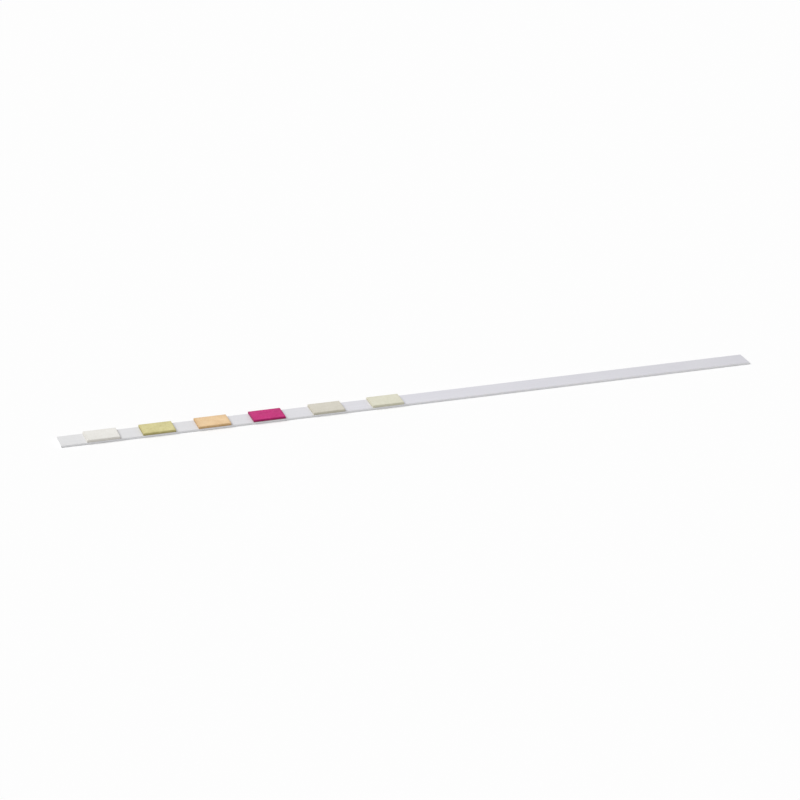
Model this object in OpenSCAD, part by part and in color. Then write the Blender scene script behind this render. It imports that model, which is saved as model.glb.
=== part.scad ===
// Dip-and-read reagent test strip: six pads of reagent paper, each held by its own piece of
// double-sided tape, on a narrow strip of white plastic film.
//
// The pads and the film are slit together from one wide laminated card, so film, tape and paper
// are flush along both long sides. The knife presses the paper down and rolls its upper edges.
// The strip lies flat with its pads up. X runs from the dipping tip to the handle, Z is up, and
// the origin is the centre of the film's underside.

/* [Film] */
// Bare film ahead of the first pad, at the dipping tip
tip_bare = 3.9; // [2:0.1:8]
// Bare film behind the last pad, where the strip is held
handle_l = 57.8; // [30:0.2:80]
// Width of the strip between its two slit sides
strip_w = 3.6; // [3:0.1:6]
// Thickness of the film
film_t = 0.3; // [0.2:0.01:0.5]
// Radius that the knife rolls on the film's upper edges
film_roll = 0.06; // [0.03:0.01:0.12]

/* [Pads] */
// Length of each pad along the strip
pad_l = 5; // [4:0.1:7]
// Thickness of the reagent paper along its middle line
pad_t = 0.32; // [0.24:0.01:0.6]
// How far the paper falls from its middle line to its slit edges
pad_crown = 0.03; // [0.01:0.005:0.06]
// Radius that the knife rolls on the paper's upper edges
pad_roll = 0.1; // [0.04:0.01:0.14]
// Bare film between one and the next of the first four pads
close_gap = 3.5; // [2:0.1:6]
// Bare film between one and the next of the last three pads
wide_gap = 4.4; // [2:0.1:8]

/* [Tape] */
// Thickness of the double-sided tape under each pad
tape_t = 0.08; // [0.04:0.01:0.15]

/* [Hidden] */

// Circles this fine come out as true arcs. The crown's arc is a short piece of a wide circle,
// which needs far more sides to fall by as little as it does.
$fn = 96;
crown_sides = 3600;

film_colour = [0.89, 0.89, 0.90];
tape_colour = [0.93, 0.93, 0.88];
pad_colours = [
    [0.91, 0.90, 0.87],
    [0.86, 0.82, 0.60],
    [0.93, 0.80, 0.63],
    [0.80, 0.25, 0.51],
    [0.83, 0.82, 0.76],
    [0.87, 0.86, 0.79]
];

// Bare film that follows each pad but the last.
gaps = [close_gap, close_gap, close_gap, wide_gap, wide_gap];
last_pad = len(gaps);

// Distance from the tip to the near end of pad i.
function pad_start(i) = i == 0 ? tip_bare : pad_start(i - 1) + pad_l + gaps[i - 1];

strip_l = pad_start(last_pad) + pad_l + handle_l;
tip_x = -strip_l / 2;
tape_z = film_t;
pad_z = film_t + tape_t;

// Section across a sheet that a knife has slit on both sides, with its underside on the X axis.
// The upper face is one arc that falls by crown from the middle to the sides, and the rolled
// edges are arcs that run into it without a corner.
module slit_section(w, t, roll, crown) {
    half = w / 2;
    crown_r = (half * half + crown * crown) / (2 * crown);
    roll_y = half - roll;
    roll_z = t - crown_r + sqrt(pow(crown_r - roll, 2) - pow(roll_y, 2));
    meet_y = roll_y * crown_r / (crown_r - roll);
    intersection() {
        translate([0, t - crown_r]) circle(crown_r, $fn = crown_sides);
        translate([-meet_y, 0]) square([2 * meet_y, 2 * t]);
    }
    translate([-half, 0]) square([w, roll_z]);
    for (side = [-1, 1])
        translate([side * roll_y, roll_z]) circle(roll);
}

// Section across the film, whose upper face stays flat between its rolled edges.
module film_section() {
    translate([-strip_w / 2, 0]) square([strip_w, film_t - film_roll]);
    translate([film_roll - strip_w / 2, 0]) square([strip_w - 2 * film_roll, film_t]);
    for (side = [-1, 1])
        translate([side * (strip_w / 2 - film_roll), film_t - film_roll]) circle(film_roll);
}

// Carries a section drawn across the strip along it, from x over a length of l, at height z.
module along_strip(x, l, z) {
    translate([x, 0, z]) rotate([90, 0, 90]) linear_extrude(height = l) children();
}

module film() {
    color(film_colour) along_strip(tip_x, strip_l, 0) film_section();
}

module tape(i) {
    color(tape_colour)
        along_strip(tip_x + pad_start(i), pad_l, tape_z)
            translate([-strip_w / 2, 0]) square([strip_w, tape_t]);
}

module pad(i) {
    color(pad_colours[i])
        along_strip(tip_x + pad_start(i), pad_l, pad_z)
            slit_section(strip_w, pad_t, pad_roll, pad_crown);
}

film();
tape(0);  // tape_1
tape(1);  // tape_2
tape(2);  // tape_3
tape(3);  // tape_4
tape(4);  // tape_5
tape(5);  // tape_6
pad(0);  // pad_1_white
pad(1);  // pad_2_yellow
pad(2);  // pad_3_orange
pad(3);  // pad_4_magenta
pad(4);  // pad_5_khaki
pad(5);  // pad_6_cream
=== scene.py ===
"""A reagent test strip lying on a pale floor: white film, tape edges and six reagent paper pads.

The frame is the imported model. The film and the tapes are its own solids with new materials. Each
pad is modelled again as a mat of paper fibres with the solid's section and place.
"""

import math

import bpy
import numpy as np
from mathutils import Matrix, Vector


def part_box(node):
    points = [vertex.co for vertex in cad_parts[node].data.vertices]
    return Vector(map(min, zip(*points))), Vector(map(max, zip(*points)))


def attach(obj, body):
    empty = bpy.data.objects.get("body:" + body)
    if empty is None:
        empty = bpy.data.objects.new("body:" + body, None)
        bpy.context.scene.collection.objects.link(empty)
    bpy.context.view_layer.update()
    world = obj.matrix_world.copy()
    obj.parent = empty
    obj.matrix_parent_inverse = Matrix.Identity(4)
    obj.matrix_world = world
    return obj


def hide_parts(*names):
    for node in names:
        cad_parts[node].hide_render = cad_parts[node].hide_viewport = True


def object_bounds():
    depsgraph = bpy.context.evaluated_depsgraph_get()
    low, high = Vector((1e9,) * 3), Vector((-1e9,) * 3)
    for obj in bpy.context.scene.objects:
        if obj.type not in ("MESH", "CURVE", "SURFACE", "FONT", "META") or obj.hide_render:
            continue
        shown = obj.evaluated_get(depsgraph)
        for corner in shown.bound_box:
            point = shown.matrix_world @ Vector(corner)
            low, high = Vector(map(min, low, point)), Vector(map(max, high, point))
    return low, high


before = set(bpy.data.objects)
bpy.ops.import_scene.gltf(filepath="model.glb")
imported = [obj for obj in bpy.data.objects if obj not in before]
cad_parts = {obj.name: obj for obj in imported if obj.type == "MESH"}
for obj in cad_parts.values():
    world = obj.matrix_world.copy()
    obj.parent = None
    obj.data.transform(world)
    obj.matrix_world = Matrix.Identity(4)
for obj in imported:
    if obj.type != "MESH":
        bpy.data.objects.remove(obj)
cad_low, cad_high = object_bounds()

MM = 0.001
TAU = 2 * math.pi


def linear(level):
    """Linear value of one colour channel given as a screen shows it, 0 to 255."""
    share = level / 255
    return share / 12.92 if level <= 10 else ((share + 0.055) / 1.055) ** 2.4


def srgb(r, g, b):
    """Linear colour of a colour given as a screen shows it, 0 to 255."""
    return linear(r), linear(g), linear(b)


def between(a, b, share):
    """The colour at a share of the way from a to b."""
    return tuple((1 - share) * p + share * q for p, q in zip(a, b))


# Camera
# It stands where the photographer stood, 408 mm from the middle of the strip and 23 degrees above
# it, and looks straight at the strip through a lens that lets the strip fill the picture.

CAMERA_PLACE = Vector((-115.2, -358.9, 157.0)) * MM
CAMERA_TARGET = Vector((-2.4, 0, 0.3)) * MM
CAMERA_NEAR = 10 * MM
CAMERA_FAR = 20.0
LENS_MM = 119.0
SENSOR_MM = 36.0


def add_camera():
    data = bpy.data.cameras.new("camera")
    data.sensor_width = SENSOR_MM
    data.lens = LENS_MM
    data.clip_start = CAMERA_NEAR
    data.clip_end = CAMERA_FAR
    camera = bpy.data.objects.new("camera", data)
    bpy.context.scene.collection.objects.link(camera)
    camera.location = CAMERA_PLACE
    camera.rotation_mode = "QUATERNION"
    camera.rotation_quaternion = (CAMERA_TARGET - CAMERA_PLACE).to_track_quat("-Z", "Y")
    bpy.context.scene.camera = camera


# Stage
# A white floor that runs out to a white world, one wide soft lamp and an even sky. The lamp shines
# from the left and a little from behind, and azimuth 0 would be straight from the front.

FLOOR_COLOUR = (0.985, 0.985, 0.985)
BACKGROUND = (0.985, 0.985, 0.985)
SKY_LEVEL = 0.46
LAMP_LEVEL = 0.54
LAMP_WIDTH_DEG = 40
LAMP_ELEVATION_DEG = 50
LAMP_AZIMUTH_DEG = 250
FLOOR_HALF = 6.0
FLOOR_DROP = 0.02 * MM


def add_floor():
    corners = [(-1, -1), (1, -1), (1, 1), (-1, 1)]
    verts = [(x * FLOOR_HALF, y * FLOOR_HALF, -FLOOR_DROP) for x, y in corners]
    mesh = bpy.data.meshes.new("floor")
    mesh.from_pydata(verts, [], [(0, 1, 2, 3)])
    floor = bpy.data.objects.new("floor", mesh)
    bpy.context.scene.collection.objects.link(floor)
    material = bpy.data.materials.new("floor")
    material.use_nodes = True
    shader = material.node_tree.nodes["Principled BSDF"]
    shader.inputs["Base Color"].default_value = (*FLOOR_COLOUR, 1)
    shader.inputs["Roughness"].default_value = 1.0
    shader.inputs["Specular IOR Level"].default_value = 0.0
    mesh.materials.append(material)


def add_lamp():
    """A sun that lights a level white surface as much as LAMP_LEVEL says, with a soft edge."""
    elevation = math.radians(LAMP_ELEVATION_DEG)
    azimuth = math.radians(LAMP_AZIMUTH_DEG)
    data = bpy.data.lights.new("lamp", "SUN")
    data.energy = LAMP_LEVEL * math.pi / math.sin(elevation)
    data.angle = math.radians(LAMP_WIDTH_DEG)
    lamp = bpy.data.objects.new("lamp", data)
    level = math.cos(elevation)
    towards = Vector((math.sin(azimuth) * level, -math.cos(azimuth) * level, math.sin(elevation)))
    lamp.rotation_mode = "QUATERNION"
    lamp.rotation_quaternion = towards.to_track_quat("Z", "Y")
    bpy.context.scene.collection.objects.link(lamp)


def add_world():
    """An even sky for the light, and the background's own white where it is seen or mirrored."""
    world = bpy.data.worlds.new("world")
    bpy.context.scene.world = world
    world.use_nodes = True
    tree = world.node_tree
    sky = tree.nodes["Background"]
    sky.inputs["Color"].default_value = (1, 1, 1, 1)
    sky.inputs["Strength"].default_value = SKY_LEVEL
    seen = tree.nodes.new("ShaderNodeBackground")
    seen.inputs["Color"].default_value = (*BACKGROUND, 1)
    path = tree.nodes.new("ShaderNodeLightPath")
    sees = path.outputs["Is Camera Ray"]
    for ray in ("Is Glossy Ray", "Is Transmission Ray"):
        either = tree.nodes.new("ShaderNodeMath")
        either.operation = "MAXIMUM"
        tree.links.new(sees, either.inputs[0])
        tree.links.new(path.outputs[ray], either.inputs[1])
        sees = either.outputs[0]
    mix = tree.nodes.new("ShaderNodeMixShader")
    tree.links.new(sees, mix.inputs[0])
    tree.links.new(sky.outputs[0], mix.inputs[1])
    tree.links.new(seen.outputs[0], mix.inputs[2])
    tree.links.new(mix.outputs[0], tree.nodes["World Output"].inputs["Surface"])


# Shader helpers

# Sockets of the Mix node that are used when it mixes colours
MIX_SHARE = 0
MIX_A = 6
MIX_B = 7
MIX_RESULT = 2


class Shader:
    """A material whose nodes are added one call at a time.

    Each call gives back the new node's output, which the next call takes where a number could be.
    """

    def __init__(self, name):
        self.material = bpy.data.materials.new(name)
        self.material.use_nodes = True
        self.tree = self.material.node_tree
        self.surface = self.tree.nodes["Principled BSDF"]

    def put(self, socket, value):
        """Links a socket to another node's output, or sets its own value."""
        if isinstance(value, bpy.types.NodeSocket):
            self.tree.links.new(value, socket)
        elif hasattr(value, "__len__") and len(value) == 3 and socket.type == "RGBA":
            socket.default_value = (*value, 1)
        else:
            socket.default_value = value

    def add(self, kind, out=0, **inputs):
        """Adds a node, fills its inputs by their names and gives back one of its outputs."""
        node = self.tree.nodes.new(kind)
        for key, value in inputs.items():
            self.put(node.inputs[key], value)
        return node.outputs[out]

    def place(self, stretch=(1, 1, 1), turn=0.0, shift=(0, 0, 0)):
        """The point's place on the strip in millimetres, stretched, turned about Z and shifted."""
        point = self.add("ShaderNodeTexCoord", out="Object")
        turned = self.add("ShaderNodeMapping", Vector=point, Rotation=(0, 0, turn),
                          Scale=(1 / MM, 1 / MM, 1 / MM))
        return self.add("ShaderNodeMapping", Vector=turned, Scale=stretch, Location=shift)

    def noise(self, scale, detail=2.0, rough=0.5, warp=0.0, **place):
        """Noise from 0 to 1, with scale waves to a millimetre before place stretches it."""
        return self.add("ShaderNodeTexNoise", Vector=self.place(**place), Scale=scale,
                        Detail=detail, Roughness=rough, Distortion=warp)

    def math(self, operation, *values):
        """One step of arithmetic."""
        node = self.tree.nodes.new("ShaderNodeMath")
        node.operation = operation
        for socket, value in zip(node.inputs, values):
            self.put(socket, value)
        return node.outputs[0]

    def times(self, a, b):
        return self.math("MULTIPLY", a, b)

    def total(self, first, *others):
        """Sum of several values."""
        for other in others:
            first = self.math("ADD", first, other)
        return first

    def above(self, value, limit):
        """1 where the value is above the limit, and 0 elsewhere."""
        return self.math("GREATER_THAN", value, limit)

    def remap(self, value, low, high, to_low=0.0, to_high=1.0):
        """The value moved from the span low to high to another span, and held at its ends."""
        node = self.tree.nodes.new("ShaderNodeMapRange")
        self.put(node.inputs["Value"], value)
        node.inputs["From Min"].default_value = low
        node.inputs["From Max"].default_value = high
        node.inputs["To Min"].default_value = to_low
        node.inputs["To Max"].default_value = to_high
        return node.outputs[0]

    def mix(self, share, a, b):
        """Colour a, with a share of colour b mixed in."""
        node = self.tree.nodes.new("ShaderNodeMix")
        node.data_type = "RGBA"
        self.put(node.inputs[MIX_SHARE], share)
        self.put(node.inputs[MIX_A], a)
        self.put(node.inputs[MIX_B], b)
        return node.outputs[MIX_RESULT]

    def attribute(self, name):
        """A value that the mesh holds at each of its points."""
        node = self.tree.nodes.new("ShaderNodeAttribute")
        node.attribute_name = name
        return node.outputs["Fac"]

    def finish(self, height, depth, **inputs):
        """Sets the surface's inputs and its bump, which is as deep as given where height is 1."""
        bump = self.add("ShaderNodeBump", Height=height, Distance=depth)
        self.put(self.surface.inputs["Normal"], bump)
        for key, value in inputs.items():
            self.put(self.surface.inputs[key.replace("_", " ")], value)
        return self.material


# Film material

# Half the film's length and width in millimetres, and how near them a point is on a cut face
FILM_HALF, FILM_HALF_WIDTH = (side / 2 / MM for side in (cad_high - cad_low)[:2])
CUT_DEPTH = 0.02

FILM_BUMP = 0.012 * MM
# Tone of the film from its tip through its middle to its handle, darker and bluer towards the
# handle: painted shade.
TIP_TONE = srgb(226, 226, 226)
MIDDLE_SHADE_TONE = srgb(218, 217, 225)
HANDLE_SHADE_TONE = srgb(206, 205, 212)
CLOUD_TONE = srgb(226, 226, 228)

DRAG_TONE = srgb(202, 202, 206)
DRAG_HEIGHT = 0.3
GRAIN_HEIGHT = 0.12

SCUFF_TONE = srgb(238, 238, 240)
SCUFF_LIMIT = 0.69
SCUFF_SHARE = 0.12
SCUFF_ROUGHNESS = 0.15

CUT_ROUGHNESS = 0.2
# The slit sides' paler tone is painted light on these upright faces.
SLIT_LIGHT_TONE = srgb(240, 240, 242)
SLIT_LIGHT_SHARE = 0.9
MARK_TONE = srgb(204, 204, 206)
MARK_HEIGHT = 0.5


def film_material():
    """White plastic film: satin, faintly rippled, with fine lengthwise drag marks and a few scuffs.

    Its slit sides and cut ends are duller and carry the knife's marks, and the sides are painted
    paler: painted light on these upright faces.
    """
    s = Shader("film")
    x, y = (s.add("ShaderNodeSeparateXYZ", out=axis, Vector=s.place()) for axis in (0, 1))
    end = s.above(s.math("ABSOLUTE", x), FILM_HALF - CUT_DEPTH)
    slit = s.above(s.math("ABSOLUTE", y), FILM_HALF_WIDTH - CUT_DEPTH)
    cut = s.math("MAXIMUM", end, slit)

    cloud = s.noise(0.12, detail=3)
    drag = s.noise(1.0, detail=4, rough=0.7, stretch=(0.05, 9, 9))
    scratch = s.noise(1.0, detail=5, rough=0.65, stretch=(0.35, 5, 5), turn=0.12)
    scuff = s.above(scratch, SCUFF_LIMIT)
    marks = s.noise(1.0, detail=3, rough=0.6, stretch=(1.5, 1.5, 40))
    ripple = s.noise(0.45, detail=1, stretch=(0.6, 1, 1))
    grain = s.noise(14, detail=2)

    # Painted shade: the film turns darker and bluer from the tip towards the handle.
    tone = s.mix(s.remap(x, -FILM_HALF, 0), TIP_TONE, MIDDLE_SHADE_TONE)
    tone = s.mix(s.remap(x, 0, FILM_HALF), tone, HANDLE_SHADE_TONE)
    tone = s.mix(s.remap(cloud, 0.3, 0.7, to_high=0.25), tone, CLOUD_TONE)
    tone = s.mix(s.remap(drag, 0.35, 0.65, to_high=0.3), tone, DRAG_TONE)
    tone = s.mix(s.times(scuff, SCUFF_SHARE), tone, SCUFF_TONE)
    # Painted light: the slit sides are made paler.
    tone = s.mix(s.times(slit, SLIT_LIGHT_SHARE), tone, SLIT_LIGHT_TONE)
    tone = s.mix(s.times(cut, s.remap(marks, 0.35, 0.65, to_high=0.3)), tone, MARK_TONE)

    height = s.total(ripple, s.times(drag, DRAG_HEIGHT), s.times(grain, GRAIN_HEIGHT),
                     s.times(cut, s.times(marks, MARK_HEIGHT)))
    rough = s.total(s.remap(drag, 0.3, 0.7, to_low=0.36, to_high=0.48),
                    s.times(scuff, SCUFF_ROUGHNESS), s.times(cut, CUT_ROUGHNESS))
    return s.finish(height, FILM_BUMP, Base_Color=tone, Roughness=rough, IOR=1.5,
                    Specular_IOR_Level=0.35)


# Tape material

TAPE_BUMP = 0.01 * MM
TAPE_TONE = srgb(190, 188, 182)
TAPE_CLEARNESS = 0.92
# A darker tone that the tape takes in patches.
TAPE_DARK_TONE = srgb(176, 171, 158)


def tape_material(name, edge):
    """Clear adhesive tape, seen at its cut edges, darker in patches.

    edge is the colour of the paper's cut sides over it, partly dye and partly painted shade, which
    shows through.
    """
    s = Shader(name)
    tape_patches = s.noise(3.0, detail=4, stretch=(1, 1, 3))
    through = between(TAPE_TONE, edge, TAPE_CLEARNESS)
    tone = s.mix(s.remap(tape_patches, 0.45, 0.75, to_high=0.3), through, TAPE_DARK_TONE)
    height = s.noise(9.0, detail=3, stretch=(1, 1, 0.3))
    return s.finish(height, TAPE_BUMP, Base_Color=tone, Roughness=0.28, IOR=1.47)


# Paper material

PAPER_BUMP = 0.008 * MM
SEED_SHIFT = (7.3, 3.1, 1.7)
DEEP_SHARE = 0.6
SMALL_SHARE = 0.5
SPECK_LIMIT = 0.745
SPECK_SHARE = 0.5
FINE_HEIGHT = 0.6
HAIR_STRETCH = (4, 44, 12)
HAIR_TURNS = (0.5, -0.9)


def paper_material(name, face, edge, pale, blotch, seed):
    """Reagent paper: dye that settles unevenly and gathers at the cut edges, over matted fibres,
    with painted shade on the cut sides and in the pits and painted light on the raised fibres.

    face, edge and pale are the colours of the open face, of the cut sides, partly gathered dye and
    partly painted shade, and of the fibres that lie on top, which take up less dye and are painted
    lighter as well. blotch says how patchy the dye is.
    """
    s = Shader(name)
    shift = tuple(seed * step for step in SEED_SHIFT)
    rim = s.attribute("rim")
    fibre = s.attribute("fibre")
    deep = between(face, edge, DEEP_SHARE)

    patch = s.noise(0.5, detail=3, rough=0.55, warp=0.4, shift=shift)
    small = s.noise(2.6, detail=4, rough=0.6, shift=shift)
    layers = s.noise(1.0, detail=3, rough=0.6, stretch=(1.6, 1.6, 30), shift=shift)
    fray = s.noise(1.7, detail=3, shift=shift)
    dots = s.noise(4.5, detail=2, rough=0.4, shift=shift)
    fine = s.noise(30, detail=3, rough=0.7, shift=shift)
    hairs = [s.noise(1.0, detail=2, stretch=HAIR_STRETCH, turn=turn, shift=shift)
             for turn in HAIR_TURNS]

    tone = s.mix(s.times(s.remap(patch, 0.34, 0.66), blotch), face, deep)
    tone = s.mix(s.times(s.remap(small, 0.35, 0.65), SMALL_SHARE * blotch), tone, pale)
    # Raised fibres are painted paler and the pits deeper: partly less dye on the raised fibres,
    # partly painted light on them and painted shade in the pits.
    tone = s.mix(s.remap(fibre, 0.62, 1.0, to_high=0.5), tone, pale)
    tone = s.mix(s.remap(fibre, 0.5, 0.0, to_high=0.55), tone, deep)
    # The cut sides take the edge colour: partly dye gathered at the cut, partly painted shade on
    # these upright faces.
    side = s.mix(s.remap(layers, 0.35, 0.65, to_high=0.5), edge, deep)
    tone = s.mix(s.times(rim, s.remap(fray, 0.25, 0.6, to_low=0.55)), tone, side)
    tone = s.mix(s.times(s.above(dots, SPECK_LIMIT), SPECK_SHARE), tone, edge)

    height = s.total(s.times(fine, FINE_HEIGHT), s.math("MAXIMUM", *hairs))
    return s.finish(height, PAPER_BUMP, Base_Color=tone, Roughness=0.95, Specular_IOR_Level=0.2,
                    Sheen_Weight=0.1, Sheen_Roughness=0.5)


# Paper fibres
# A pad is a mat of fibres with the solid's own section. Fibres are laid at random, one over
# another, and the mat's face follows them.

FIELD_STEP = 0.0125 * MM
FIELD_MARGIN = 0.4 * MM
FIBRE_COUNT = 4200
FIBRE_LENGTH = (0.5 * MM, 1.7 * MM)
FIBRE_RADIUS = (0.011 * MM, 0.021 * MM)
FIBRE_SAMPLES = 130
FIBRE_ROUNDNESS = 0.35
# Spread of the fibres' directions about the strip's own, in radians
GRAIN_SPREAD = 0.9
# Spread of how much they turn on their way, in radians to the metre
FIBRE_CURL = 1100.0
# Percentiles of the laid fibres' heights that become 0, in the pits, and 1, on top
PIT_AND_TOP = (1, 99)
# Cells that a place keeps from the field's far edges, so that it has neighbours on both sides
FIELD_INSET = 1.001


def fibre_field(length, width, rng):
    """Heights of a mat of fibres over the pad and a margin round it, 0 in its pits to 1 on top."""
    shape = [int(round((side + 2 * FIELD_MARGIN) / FIELD_STEP)) for side in (length, width)]
    field = np.zeros(shape)
    count = (FIBRE_COUNT, 1)
    reach = rng.uniform(*FIBRE_LENGTH, count)
    radius = rng.uniform(*FIBRE_RADIUS, count) / FIELD_STEP
    level = rng.uniform(0, 1, count)
    heading = rng.normal(0, GRAIN_SPREAD, count)
    curl = rng.normal(0, FIBRE_CURL, count)
    start_x = rng.uniform(0, shape[0], count)
    start_y = rng.uniform(0, shape[1], count)
    along = np.linspace(0, 1, FIBRE_SAMPLES)[None, :] * reach
    angle = heading + curl * along
    step = reach / (FIBRE_SAMPLES - 1) / FIELD_STEP
    x = start_x + np.cumsum(np.cos(angle) * step, axis=1)
    y = start_y + np.cumsum(np.sin(angle) * step, axis=1)
    i = np.floor(x).astype(int)
    j = np.floor(y).astype(int)
    for di in (-1, 0, 1):
        for dj in (-1, 0, 1):
            off = ((i + di + 0.5 - x) ** 2 + (j + dj + 0.5 - y) ** 2) / radius ** 2
            rise = np.sqrt(np.clip(1 - off, 0, 1))
            value = np.where(off < 1, level + FIBRE_ROUNDNESS * rise, 0)
            np.maximum.at(field, ((i + di) % shape[0], (j + dj) % shape[1]), value)
    low, high = np.percentile(field, PIT_AND_TOP)
    return np.clip((field - low) / (high - low), 0, 1)


def sample(field, x, y):
    """Value of the field at places given from the pad's corner, between its grid points."""
    u = np.clip((x + FIELD_MARGIN) / FIELD_STEP, 0, field.shape[0] - FIELD_INSET)
    v = np.clip((y + FIELD_MARGIN) / FIELD_STEP, 0, field.shape[1] - FIELD_INSET)
    i = u.astype(int)
    j = v.astype(int)
    a = u - i
    b = v - j
    return ((1 - a) * (1 - b) * field[i, j] + a * (1 - b) * field[i + 1, j]
            + (1 - a) * b * field[i, j + 1] + a * b * field[i + 1, j + 1])


# Pad surface
# The solid's own form: square ends, rolled slit edges and a crowned face.

PAD_ROLL = 0.1 * MM
PAD_CROWN = 0.03 * MM
PAD_END_ROUND = 0.05 * MM
ROLL_SEGMENTS = 7
END_SEGMENTS = 3
MIN_SIDE_ROWS = 3
MESH_STEP = 0.026 * MM
TINY = 1e-12


def crown_section(width, height):
    """Points over the pad's top, from one slit side to the other, as in the solid's section."""
    half = width / 2
    crown_r = (half ** 2 + PAD_CROWN ** 2) / (2 * PAD_CROWN)
    crown_z = height - crown_r
    roll_y = half - PAD_ROLL
    roll_z = crown_z + math.sqrt((crown_r - PAD_ROLL) ** 2 - roll_y ** 2)
    lean = math.asin(roll_y / (crown_r - PAD_ROLL))
    turns = np.linspace(math.pi / 2, lean, ROLL_SEGMENTS + 1)
    right = np.stack([roll_y + PAD_ROLL * np.sin(turns), roll_z + PAD_ROLL * np.cos(turns)], axis=1)
    count = int(round(2 * roll_y / MESH_STEP))
    across = np.linspace(-lean, lean, count + 1)[1:-1]
    middle = np.stack([crown_r * np.sin(across), crown_z + crown_r * np.cos(across)], axis=1)
    return np.concatenate([right * (-1, 1), middle, right[::-1]])


def face_height(top, y):
    """Height of the pad's smooth face at a place across the strip."""
    return np.interp(y, top[:, 0], top[:, 1])


def stations(length):
    """Places along the pad where its mesh has a line, closer together at its two ends."""
    near = np.linspace(0, PAD_END_ROUND, END_SEGMENTS + 1)
    count = int(round((length - 2 * PAD_END_ROUND) / MESH_STEP))
    inner = np.linspace(PAD_END_ROUND, length - PAD_END_ROUND, count + 1)[1:-1]
    return np.concatenate([near, inner, length - near[::-1]])


def grid_faces(index):
    """Quads between neighbours in a grid of vertex numbers."""
    corners = [index[:-1, :-1], index[1:, :-1], index[1:, 1:], index[:-1, 1:]]
    return np.stack(corners, axis=-1).reshape(-1, 4)


def end_points(x, top, rows):
    """Points inside one of the pad's end faces, in rows under the line of its top."""
    place = np.empty((len(top) - 2, rows, 3))
    place[..., 0] = x
    place[..., 1] = top[1:-1, :1]
    place[..., 2] = top[1:-1, 1:] * (np.arange(rows) / rows)
    return place.reshape(-1, 3)


def end_grid(edge, across, rows, first_new):
    """Vertex numbers over an end face: edge along its sides and top, and new ones inside it."""
    index = np.empty((across, rows + 1), int)
    index[:, rows] = edge[rows:rows + across]
    index[0, :rows] = edge[:rows]
    index[-1, :rows] = edge[::-1][:rows]
    inner = (across - 2, rows)
    index[1:-1, :rows] = first_new + np.arange(inner[0] * inner[1]).reshape(inner)
    return index


def pad_surface(length, width, height):
    """A pad's closed surface: its vertices, its faces and the line of its top across the strip.

    It starts at x 0 and z 0 and lies evenly to both sides of y 0.
    """
    top = crown_section(width, height)
    rows = max(MIN_SIDE_ROWS, int(round(top[0, 1] / MESH_STEP)))
    climb = np.linspace(0, 1, rows + 1)[:-1] * top[0, 1]
    left = np.stack([np.full(rows, top[0, 0]), climb], axis=1)
    loop = np.concatenate([left, top, left[::-1] * (-1, 1)])
    xs = stations(length)
    wrap = np.concatenate([np.broadcast_to(xs[:, None, None], (len(xs), len(loop), 1)),
                           np.broadcast_to(loop, (len(xs), *loop.shape))], axis=2)
    number = np.arange(len(xs) * len(loop)).reshape(len(xs), len(loop))
    verts = [wrap.reshape(-1, 3)]
    quads = [grid_faces(number)]
    feet = []
    used = number.size
    for end in (0, -1):
        index = end_grid(number[end], len(top), rows, used)
        verts.append(end_points(xs[end], top, rows))
        used += len(verts[-1])
        quads.append(grid_faces(index)[:, ::-1] if end == 0 else grid_faces(index))
        feet.append(index[:, 0].tolist())
    faces = np.concatenate(quads).tolist()
    right_foot = number[1:-1, -1].tolist()
    left_foot = number[1:-1, 0].tolist()
    faces.append(feet[0] + right_foot + feet[1][::-1] + left_foot[::-1])
    return np.concatenate(verts), faces, top


def round_ends(points, length, top):
    """Rolls the edges between the pad's face and its two ends over a small radius."""
    r = PAD_END_ROUND
    face = face_height(top, points[:, 1])
    depth = face - points[:, 2]
    for sign, end in ((-1, 0.0), (1, length)):
        inset = sign * (end - points[:, 0])
        near = (inset < r) & (depth < r)
        across = r - inset[near]
        up = r - np.maximum(depth[near], 0)
        most = np.maximum(across, up) / np.maximum(np.hypot(across, up), TINY)
        points[near, 0] = end - sign * (r - across * most)
        points[near, 2] = face[near] - (r - up * most)
    return points


# Stray fibres
# Some fibres stick out where the knife has cut the mat, at its two ends and along its sides.

STRAY_COUNT = 56
STRAY_AT_ENDS = 0.55
STRAY_RINGS = 8
STRAY_SIDES = 5
STRAY_ROOT = 0.05 * MM
STRAY_TAPER = 0.5
# Lowest and highest value. Lean is 0 where a fibre lies along the cut and 1 straight out of it.
STRAY_RADIUS = (0.004 * MM, 0.007 * MM)
STRAY_LENGTH = (0.1 * MM, 0.32 * MM)
STRAY_LEAN = (0.1, 0.6)
# Mean and spread, as shares of the fibre's length
STRAY_CURL = (-0.2, 0.5)
STRAY_DROOP = (-0.15, 0.25)
# The beta curve of the roots' heights, which puts most of them near the pad's top
STRAY_HEIGHT = (4, 1.4)
# How far the fibres may stand out past the pad's sides and its top, and their lowest place
STRAY_PROUD_SIDE = 0.045 * MM
STRAY_PROUD_TOP = 0.004 * MM
STRAY_LOW = 0.02 * MM
# A nearly upright direction that no fibre follows, from which its rings take their own
ASLANT = (0.1, 0.2, 1.0)


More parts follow.
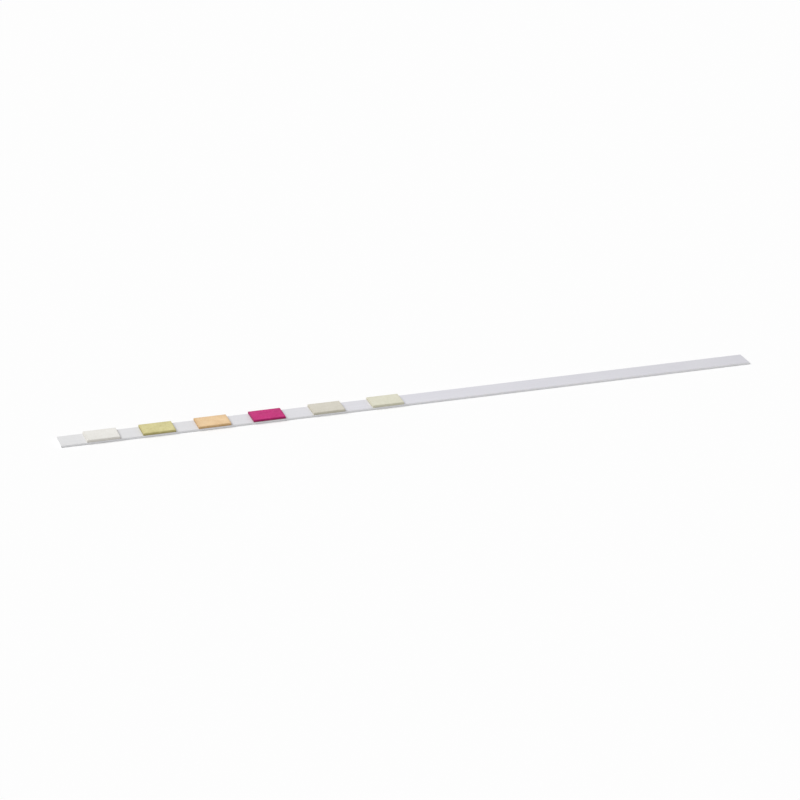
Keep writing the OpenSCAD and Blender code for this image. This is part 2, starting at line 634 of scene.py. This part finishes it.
def stray_path(length, width, top, rng):
    """Points along one stray fibre, from its root in the mat out through a cut edge."""
    half = width / 2
    at_end = rng.random() < STRAY_AT_ENDS
    side = rng.choice((-1, 1))
    if at_end:
        root = np.array([0 if side < 0 else length, rng.uniform(-half, half), 0])
        out = np.array([side, 0, 0])
        lie = np.array([0, rng.choice((-1, 1)), 0])
    else:
        root = np.array([rng.uniform(0, length), side * half, 0])
        out = np.array([0, side, 0])
        lie = np.array([rng.choice((-1, 1)), 0, 0])
    root[2] = face_height(top, root[1]) * rng.beta(*STRAY_HEIGHT) - STRAY_ROOT / 2
    root = root - out * STRAY_ROOT
    reach = rng.uniform(*STRAY_LENGTH)
    lean = rng.uniform(*STRAY_LEAN)
    droop = rng.normal(*STRAY_DROOP)
    curl = rng.normal(*STRAY_CURL)
    t = np.linspace(0, 1, STRAY_RINGS)[:, None]
    heading = lie * (1 - lean) + out * lean
    bend = curl * lie + droop * np.array([0, 0, 1])
    path = root + reach * (t * heading + t ** 2 * bend)
    limit = half + STRAY_PROUD_SIDE
    if at_end:
        path[:, 1] = limit * np.tanh(path[:, 1] / limit)
    else:
        path[:, 1] = np.clip(path[:, 1], -limit, limit)
    path[:, 2] = np.clip(path[:, 2], STRAY_LOW, top[:, 1].max() + STRAY_PROUD_TOP)
    return path


def rings(path, radii):
    """Rings of points round a path, one at each of its points."""
    along = np.gradient(path, axis=0)
    along /= np.linalg.norm(along, axis=1, keepdims=True)
    across = np.cross(along, ASLANT)
    across /= np.linalg.norm(across, axis=1, keepdims=True)
    up = np.cross(across, along)
    turn = np.linspace(0, TAU, STRAY_SIDES, endpoint=False)[None, :, None]
    offset = np.cos(turn) * across[:, None, :] + np.sin(turn) * up[:, None, :]
    return path[:, None, :] + radii[:, None, None] * offset


def stray_fibres(length, width, top, rng):
    """Thin closed tubes that stick out of the mat's cut edges, as vertices and faces."""
    taper = 1 - STRAY_TAPER * np.linspace(0, 1, STRAY_RINGS)
    grid = np.arange(STRAY_RINGS * STRAY_SIDES).reshape(STRAY_RINGS, STRAY_SIDES)
    verts = []
    faces = []
    for number in range(STRAY_COUNT):
        path = stray_path(length, width, top, rng)
        tube = rings(path, rng.uniform(*STRAY_RADIUS) * taper)
        index = grid + number * grid.size
        closed = np.concatenate([index, index[:, :1]], axis=1)
        faces += grid_faces(closed).tolist()
        faces += [index[0].tolist(), index[-1, ::-1].tolist()]
        verts.append(tube.reshape(-1, 3))
    return np.concatenate(verts), faces


# Pads

# Depth of the mat's pits, and how much shorter its pattern is up the cut sides than along them
FACE_RELIEF = 0.03 * MM
SIDE_RELIEF = 0.016 * MM
SIDE_STRETCH = 6.0
# Fibre value of the cut sides, and fibre and rim values of the stray fibres
SIDE_FIBRE = 0.55
STRAY_FIBRE = 0.7
STRAY_RIM = 0.25
# How far the gathered dye reaches in over the face, its strength at the face's edges, and how far
# below them the cut sides' dye and painted shade are full
RIM_WIDTH = 0.4 * MM
RIM_STRENGTH = 0.5
SIDE_FADE = 0.09 * MM
# Points lower than this lie on the underside, which stays flat
UNDERSIDE = 0.0001 * MM


def mesh_object(name, verts, faces, material):
    mesh = bpy.data.meshes.new(name)
    mesh.from_pydata(verts.tolist(), [], faces)
    mesh.materials.append(material)
    piece = bpy.data.objects.new(name, mesh)
    bpy.context.scene.collection.objects.link(piece)
    return piece


def vertex_normals(mesh):
    normals = np.empty(len(mesh.vertices) * 3, np.float32)
    mesh.vertices.foreach_get("normal", normals)
    return normals.reshape(-1, 3).astype(float)


def add_attribute(mesh, name, values, stray_value, stray_count):
    """Gives the mat's points their values, and all points of the stray fibres one value."""
    layer = mesh.attributes.new(name, "FLOAT", "POINT")
    whole = np.concatenate([values, np.full(stray_count, stray_value)])
    layer.data.foreach_set("value", whole.astype(np.float32))


def fibre_relief(points, normals, field, length, width):
    """How far the fibres sink each point below the smooth surface, and the mat's height there."""
    upward = np.clip(normals[:, 2], 0, 1)
    on_face = sample(field, points[:, 0], points[:, 1] + width / 2)
    on_side = sample(field, (points[:, 0] + points[:, 1]) % length,
                     (points[:, 2] * SIDE_STRETCH) % width)
    relief = (on_face - 1) * FACE_RELIEF * upward + (on_side - 1) * SIDE_RELIEF * (1 - upward)
    relief[points[:, 2] < UNDERSIDE] = 0
    return relief, on_face * upward + SIDE_FIBRE * (1 - upward)


def dye_and_side_shade(points, length, width, top):
    """How much dye has gathered, 1 on the cut sides, where it stands for painted shade as well, and
    fading inwards from the face's edges.
    """
    from_sides = width / 2 - np.abs(points[:, 1])
    from_edge = np.minimum.reduce([points[:, 0], length - points[:, 0], from_sides])
    rim = RIM_STRENGTH * np.clip(1 - from_edge / RIM_WIDTH, 0, 1) ** 2
    depth = face_height(top, points[:, 1]) - points[:, 2]
    return np.maximum(rim, np.clip(depth / SIDE_FADE, 0, 1))


def paper_pad(node, material, seed):
    """A reagent pad in the place of its solid."""
    low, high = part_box(node)
    length, width, height = high - low
    rng = np.random.default_rng(seed)
    field = fibre_field(length, width, rng)
    mat, faces, top = pad_surface(length, width, height)
    mat = round_ends(mat, length, top)
    stray, stray_faces = stray_fibres(length, width, top, rng)
    faces += [[corner + len(mat) for corner in face] for face in stray_faces]
    piece = mesh_object(node + "_paper", np.concatenate([mat, stray]), faces, material)
    normals = vertex_normals(piece.data)[:len(mat)]
    relief, fibre = fibre_relief(mat, normals, field, length, width)
    rim = dye_and_side_shade(mat, length, width, top)
    add_attribute(piece.data, "fibre", fibre, STRAY_FIBRE, len(stray))
    add_attribute(piece.data, "rim", rim, STRAY_RIM, len(stray))
    matted = mat + normals * relief[:, None]
    whole = np.concatenate([matted, stray]) + (low.x, 0, low.z)
    piece.data.vertices.foreach_set("co", whole.ravel())
    piece.data.shade_smooth()
    piece.data.update()
    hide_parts(node)
    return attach(piece, "root")


# The strip
# Each pad has its node, the colours of its face, its cut edges and its palest fibres, and how
# patchy its dye is, from the tip to the handle. The cut edges' colour is partly dye and partly
# painted shade, and the palest fibres' colour is partly lesser dye and partly painted light.

PADS = [
    ("pad_1_white", srgb(234, 232, 226), srgb(216, 212, 204), srgb(242, 241, 238), 0.5),
    ("pad_2_yellow", srgb(219, 210, 147), srgb(158, 146, 88), srgb(232, 226, 178), 0.65),
    ("pad_3_orange", srgb(240, 204, 155), srgb(188, 147, 93), srgb(246, 221, 187), 0.65),
    ("pad_4_magenta", srgb(200, 37, 120), srgb(138, 20, 76), srgb(212, 70, 139), 0.65),
    ("pad_5_khaki", srgb(213, 208, 195), srgb(192, 187, 168), srgb(227, 224, 214), 0.7),
    ("pad_6_cream", srgb(220, 218, 197), srgb(203, 199, 176), srgb(234, 232, 218), 0.65),
]


def dress_solid(node, material):
    """Gives one of the frame's own solids its material."""
    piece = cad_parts[node]
    for place in piece.material_slots:
        place.material = material


add_camera()
add_floor()
add_lamp()
add_world()

dress_solid("film", film_material())
for number, (node, face, edge, pale, blotch) in enumerate(PADS, start=1):
    dress_solid(f"tape_{number}", tape_material(f"tape_{number}", edge))
    paper_pad(node, paper_material(node, face, edge, pale, blotch, number), seed=number)

bpy.context.scene.view_settings.view_transform = "Standard"
